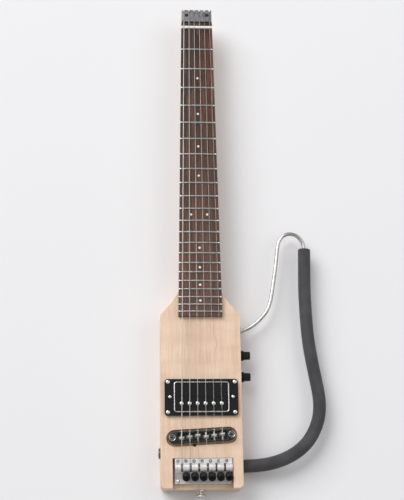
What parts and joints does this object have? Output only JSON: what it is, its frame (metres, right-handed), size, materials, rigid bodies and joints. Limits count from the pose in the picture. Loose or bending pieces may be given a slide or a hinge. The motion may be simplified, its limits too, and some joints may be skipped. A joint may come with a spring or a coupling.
{
  "type": "headless travel guitar",
  "caption": "Headless electric travel guitar with a slim one-piece maple body, recessed bridge, geared tuners at the tail and a foam-covered lap rest.",
  "frame": {"origin": "centre line of the flat back, under the nominal end of the scale", "axes": "+Y from tail to headpiece, +X towards the lap rest, +Z from back to strings"},
  "size_m": [0.2149, 0.6619, 0.0507],
  "materials": {
    "maple": "satin open-grain maple",
    "rosewood": "oiled dark streaked rosewood",
    "bone": "polished off-white",
    "grey_cast_metal": "satin grey casting",
    "housing_metal": "bright satin casting",
    "dark_metal": "dark plated",
    "nickel": "bright nickel",
    "steel": "plain steel",
    "polished_steel": "polished stainless",
    "plain_string": "drawn steel wire",
    "wound_string": "wound wire",
    "brass": "machined brass",
    "black_plastic": "moulded black",
    "black_knob": "moulded black",
    "black_foam": "closed-cell foam",
    "insulation": "black insulation"
  },
  "bodies": {
    "guitar": {"maple_body": "maple", "fingerboard": "rosewood", "nut": "bone", "headpiece": "grey_cast_metal", "jack_nut": "grey_cast_metal", "tuner_housing": "housing_metal", "bridge_base": "dark_metal", "headpiece_screw_bass": "dark_metal", "headpiece_screw_treble": "dark_metal", "pickup_magnet": "dark_metal", "strap_button": "nickel", "pickup_cover": "nickel", "pickup_baseplate": "nickel", "truss_rod": "steel", "tuner_axle": "steel", "bridge_post_bass": "steel", "bridge_post_treble": "steel", "pot_volume": "steel", "pot_tone": "steel", "output_jack": "steel", "strap_button_screw": "steel", "rest_socket_upper": "steel", "rest_socket_lower": "steel", "pickup_height_screw_bass": "steel", "pickup_height_screw_treble": "steel", "string_1": "plain_string", "string_2": "plain_string", "string_3": "plain_string", "string_4": "wound_string", "string_5": "wound_string", "string_6": "wound_string", "pickup_ring": "black_plastic", "pickup_bobbin_screw": "black_plastic", "pickup_bobbin_slug": "black_plastic", "cavity_cover": "black_plastic", "lead_pickup": "insulation", "lead_jack": "insulation"},
    "saddle_1": {"saddle_1": "nickel"},
    "tuner_knob_1": {"tuner_knob_1": "black_knob"},
    "tuner_roller_1": {"tuner_roller_1": "brass"},
    "saddle_2": {"saddle_2": "nickel"},
    "tuner_knob_2": {"tuner_knob_2": "black_knob"},
    "tuner_roller_2": {"tuner_roller_2": "brass"},
    "saddle_3": {"saddle_3": "nickel"},
    "tuner_knob_3": {"tuner_knob_3": "black_knob"},
    "tuner_roller_3": {"tuner_roller_3": "brass"},
    "saddle_4": {"saddle_4": "nickel"},
    "tuner_knob_4": {"tuner_knob_4": "black_knob"},
    "tuner_roller_4": {"tuner_roller_4": "brass"},
    "saddle_5": {"saddle_5": "nickel"},
    "tuner_knob_5": {"tuner_knob_5": "black_knob"},
    "tuner_roller_5": {"tuner_roller_5": "brass"},
    "saddle_6": {"saddle_6": "nickel"},
    "tuner_knob_6": {"tuner_knob_6": "black_knob"},
    "tuner_roller_6": {"tuner_roller_6": "brass"},
    "volume_control": {"knob_volume": "black_knob"},
    "tone_control": {"knob_tone": "black_knob"},
    "lap_rest": {"rest_rod": "polished_steel", "rest_sleeve": "black_foam"}
  },
  "joints": [
    {"name": "saddle_6_slide", "type": "slide", "parent": "guitar", "child": "saddle_6", "axis": [-0.0541, 0.9985, 0], "range_m": [-0.0013, 0.0033]},
    {"name": "tuner_6_turn", "type": "hinge", "parent": "guitar", "child": "tuner_knob_6", "pos_m": [-0.0197, -0.04583, 0.03198], "axis": [0, -0.5736, 0.8192], "continuous": true},
    {"name": "roller_6_turn", "type": "hinge", "parent": "guitar", "child": "tuner_roller_6", "pos_m": [-0.025, -0.0401, 0.036], "axis": [1, 0, 0], "continuous": true},
    {"name": "saddle_5_slide", "type": "slide", "parent": "guitar", "child": "saddle_5", "axis": [-0.0541, 0.9985, 0], "range_m": [-0.0023, 0.0023]},
    {"name": "tuner_5_turn", "type": "hinge", "parent": "guitar", "child": "tuner_knob_5", "pos_m": [-0.00907, -0.04583, 0.03198], "axis": [0, -0.5736, 0.8192], "continuous": true},
    {"name": "roller_5_turn", "type": "hinge", "parent": "guitar", "child": "tuner_roller_5", "pos_m": [-0.01437, -0.0401, 0.036], "axis": [1, 0, 0], "continuous": true},
    {"name": "saddle_4_slide", "type": "slide", "parent": "guitar", "child": "saddle_4", "axis": [-0.0541, 0.9985, 0], "range_m": [-0.0033, 0.0013]},
    {"name": "tuner_4_turn", "type": "hinge", "parent": "guitar", "child": "tuner_knob_4", "pos_m": [0.00156, -0.04583, 0.03198], "axis": [0, -0.5736, 0.8192], "continuous": true},
    {"name": "roller_4_turn", "type": "hinge", "parent": "guitar", "child": "tuner_roller_4", "pos_m": [-0.00374, -0.0401, 0.036], "axis": [1, 0, 0], "continuous": true},
    {"name": "saddle_3_slide", "type": "slide", "parent": "guitar", "child": "saddle_3", "axis": [-0.0541, 0.9985, 0], "range_m": [-0.0013, 0.0033]},
    {"name": "tuner_3_turn", "type": "hinge", "parent": "guitar", "child": "tuner_knob_3", "pos_m": [0.01219, -0.04583, 0.03198], "axis": [0, -0.5736, 0.8192], "continuous": true},
    {"name": "roller_3_turn", "type": "hinge", "parent": "guitar", "child": "tuner_roller_3", "pos_m": [0.00689, -0.0401, 0.036], "axis": [1, 0, 0], "continuous": true},
    {"name": "saddle_2_slide", "type": "slide", "parent": "guitar", "child": "saddle_2", "axis": [-0.0541, 0.9985, 0], "range_m": [-0.0023, 0.0023]},
    {"name": "tuner_2_turn", "type": "hinge", "parent": "guitar", "child": "tuner_knob_2", "pos_m": [0.02282, -0.04583, 0.03198], "axis": [0, -0.5736, 0.8192], "continuous": true},
    {"name": "roller_2_turn", "type": "hinge", "parent": "guitar", "child": "tuner_roller_2", "pos_m": [0.01752, -0.0401, 0.036], "axis": [1, 0, 0], "continuous": true},
    {"name": "saddle_1_slide", "type": "slide", "parent": "guitar", "child": "saddle_1", "axis": [-0.0541, 0.9985, 0], "range_m": [-0.0032, 0.0014]},
    {"name": "tuner_1_turn", "type": "hinge", "parent": "guitar", "child": "tuner_knob_1", "pos_m": [0.03345, -0.04583, 0.03198], "axis": [0, -0.5736, 0.8192], "continuous": true},
    {"name": "roller_1_turn", "type": "hinge", "parent": "guitar", "child": "tuner_roller_1", "pos_m": [0.02815, -0.0401, 0.036], "axis": [1, 0, 0], "continuous": true},
    {"name": "volume_turn", "type": "hinge", "parent": "guitar", "child": "volume_control", "pos_m": [0.05125, 0.1039, 0.02], "axis": [1, 0, 0], "range_deg": [-150, 150]},
    {"name": "tone_turn", "type": "hinge", "parent": "guitar", "child": "tone_control", "pos_m": [0.05125, 0.0761, 0.02], "axis": [1, 0, 0], "range_deg": [-150, 150]},
    {"name": "lap_rest_pull", "type": "slide", "parent": "guitar", "child": "lap_rest", "axis": [1, 0, 0], "range_m": [0, 0.017]}
  ],
  "couplings": [
    {"joint": "roller_6_turn", "follows": "tuner_6_turn", "ratio": 0.083333},
    {"joint": "roller_5_turn", "follows": "tuner_5_turn", "ratio": 0.083333},
    {"joint": "roller_4_turn", "follows": "tuner_4_turn", "ratio": 0.083333},
    {"joint": "roller_3_turn", "follows": "tuner_3_turn", "ratio": 0.083333},
    {"joint": "roller_2_turn", "follows": "tuner_2_turn", "ratio": 0.083333},
    {"joint": "roller_1_turn", "follows": "tuner_1_turn", "ratio": 0.083333}
  ]
}
